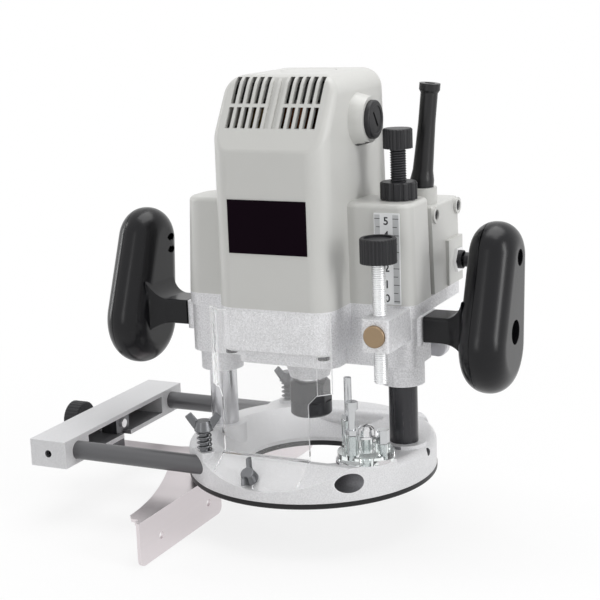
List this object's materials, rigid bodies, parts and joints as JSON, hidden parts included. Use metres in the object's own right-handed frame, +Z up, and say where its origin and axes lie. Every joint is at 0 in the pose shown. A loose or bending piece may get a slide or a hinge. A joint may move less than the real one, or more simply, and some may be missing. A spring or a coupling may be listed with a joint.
{
  "type": "plunge_router",
  "caption": "Plunge router with straight guide: round base, two columns, grey motor, black egg handles, clear chip guard and depth-stop turret",
  "frame": {"origin": "centre of the base's opening at its underside, on the spindle axis", "axes": "+Z up along the spindle, +X to the scale and switch side, -Y to the label side"},
  "size_m": [0.3218, 0.244, 0.2848],
  "materials": {
    "cast_alloy": "satin cast",
    "housing_plastic": "fine grained",
    "black_plastic": "satin",
    "dark_plastic": "matte",
    "clear_plastic": "clear",
    "steel": "bright",
    "dark_steel": "blackened",
    "plated_sheet": "plated satin",
    "white_rod": "bright",
    "bronze": "satin",
    "copper": "varnished",
    "carbon": "matte",
    "rubber": "matte",
    "scale_print": "printed",
    "label_sheet": "satin, bare"
  },
  "bodies": {
    "base": {"base_casting": "cast_alloy", "sub_base_plate": "dark_plastic", "sub_base_screws": "dark_steel", "left_column": "steel", "right_column": "steel", "column_set_screws": "dark_steel", "height_rod": "dark_steel", "height_rod_cap": "black_plastic", "clamp_springs": "steel", "turret_screw": "steel", "chip_guard": "clear_plastic", "plunge_spring": "steel"},
    "motor_unit": {"motor_bracket": "cast_alloy", "motor_housing": "housing_plastic", "plunge_bushes": "bronze", "label_plate": "label_sheet", "scale_plate": "scale_print", "switch_cover": "housing_plastic", "switch_body": "dark_plastic", "switch_nut": "steel", "cord_guard": "rubber", "stator_core": "dark_steel", "field_coils": "copper", "spindle_bearings": "steel", "brush_holders": "bronze", "brushes_and_springs": "carbon", "brush_caps": "black_plastic", "housing_screws": "dark_steel", "case_screws": "dark_steel", "left_handle_inner": "black_plastic", "left_handle_outer": "black_plastic", "right_handle_inner": "black_plastic", "right_handle_outer": "black_plastic"},
    "spindle": {"spindle_shaft": "steel", "armature_core": "dark_steel", "armature_windings": "copper", "commutator": "copper", "cooling_fan": "dark_plastic", "collet_cone": "dark_steel"},
    "collet_nut": {"collet_nut": "dark_steel"},
    "nylon_nut": {"nylon_nut": "dark_plastic"},
    "front_clamp_bolt": {"front_clamp_bolt": "steel"},
    "rear_clamp_bolt": {"rear_clamp_bolt": "steel"},
    "guard_wing_bolt": {"guard_wing_bolt": "steel"},
    "turret": {"turret_block": "clear_plastic", "stop_bolts": "steel"},
    "stop_pole": {"stop_pole": "white_rod"},
    "pole_knob": {"pole_knob": "black_plastic"},
    "feed_button": {"feed_button": "bronze"},
    "lock_lever": {"lock_lever": "black_plastic"},
    "switch_toggle": {"switch_toggle": "steel"},
    "guide": {"guide_rods": "steel", "guide_holder": "cast_alloy", "guide_set_screws": "dark_steel"},
    "fence": {"fence_plate": "plated_sheet", "fence_bracket": "cast_alloy", "fence_screw": "steel"},
    "feed_knob": {"feed_screw": "steel", "feed_knob": "black_plastic"}
  },
  "joints": [
    {"name": "plunge_slide", "type": "slide", "parent": "base", "child": "motor_unit", "axis": [0, 0, -1], "range_m": [0, 0.0287], "stiffness_N_per_m": 1500, "springref_m": -0.06, "deforming": ["plunge_spring"]},
    {"name": "spindle_spin", "type": "hinge", "parent": "motor_unit", "child": "spindle", "pos_m": [0, 0, 0.1], "axis": [0, 0, 1], "continuous": true},
    {"name": "collet_nut_turn", "type": "hinge", "parent": "spindle", "child": "collet_nut", "pos_m": [0, 0, 0.048], "axis": [0, 0, 1], "continuous": true},
    {"name": "nylon_nut_turn", "type": "hinge", "parent": "base", "child": "nylon_nut", "pos_m": [0.0634, 0, 0.182], "axis": [0, 0, 1], "continuous": true},
    {"name": "front_clamp_turn", "type": "hinge", "parent": "base", "child": "front_clamp_bolt", "pos_m": [-0.046, -0.06, 0.038], "axis": [0, 0, 1], "continuous": true},
    {"name": "rear_clamp_turn", "type": "hinge", "parent": "base", "child": "rear_clamp_bolt", "pos_m": [-0.046, 0.06, 0.038], "axis": [0, 0, 1], "continuous": true},
    {"name": "guard_bolt_turn", "type": "hinge", "parent": "base", "child": "guard_wing_bolt", "pos_m": [-0.007, -0.074, 0.01399], "axis": [0, -0.5736, 0.8192], "continuous": true},
    {"name": "turret_turn", "type": "hinge", "parent": "base", "child": "turret", "pos_m": [0.0539, -0.0385, 0.03], "axis": [0, 0, -1], "continuous": true},
    {"name": "stop_pole_slide", "type": "slide", "parent": "motor_unit", "child": "stop_pole", "axis": [0, 0, 1], "range_m": [-0.0287, 0.03]},
    {"name": "pole_knob_turn", "type": "hinge", "parent": "stop_pole", "child": "pole_knob", "pos_m": [0.06646, -0.04186, 0.15], "axis": [0, 0, 1], "continuous": true},
    {"name": "feed_button_press", "type": "slide", "parent": "motor_unit", "child": "feed_button", "axis": [0, 1, 0], "range_m": [0, 0.0016], "stiffness_N_per_m": 800, "springref_m": -0.002},
    {"name": "lock_lever_turn", "type": "hinge", "parent": "motor_unit", "child": "lock_lever", "pos_m": [0.0634, 0.022, 0.08], "axis": [0, 1, 0], "range_deg": [-30, 30]},
    {"name": "switch_toggle_tilt", "type": "hinge", "parent": "motor_unit", "child": "switch_toggle", "pos_m": [0.0735, 0.053, 0.131], "axis": [0, 1, 0], "range_deg": [-12, 12]},
    {"name": "guide_slide", "type": "slide", "parent": "base", "child": "guide", "axis": [1, 0, 0], "range_m": [-0.055, 0.055]},
    {"name": "feed_knob_spin", "type": "hinge", "parent": "guide", "child": "feed_knob", "pos_m": [-0.168, 0, 0.0148], "axis": [1, 0, 0], "range_deg": [-1445, 1445]},
    {"name": "fence_slide", "type": "slide", "parent": "guide", "child": "fence", "axis": [1, 0, 0], "range_m": [-0.006, 0.006]}
  ],
  "couplings": [
    {"joint": "feed_knob_spin", "follows": "fence_slide", "rad_per_m": -4188.8}
  ]
}
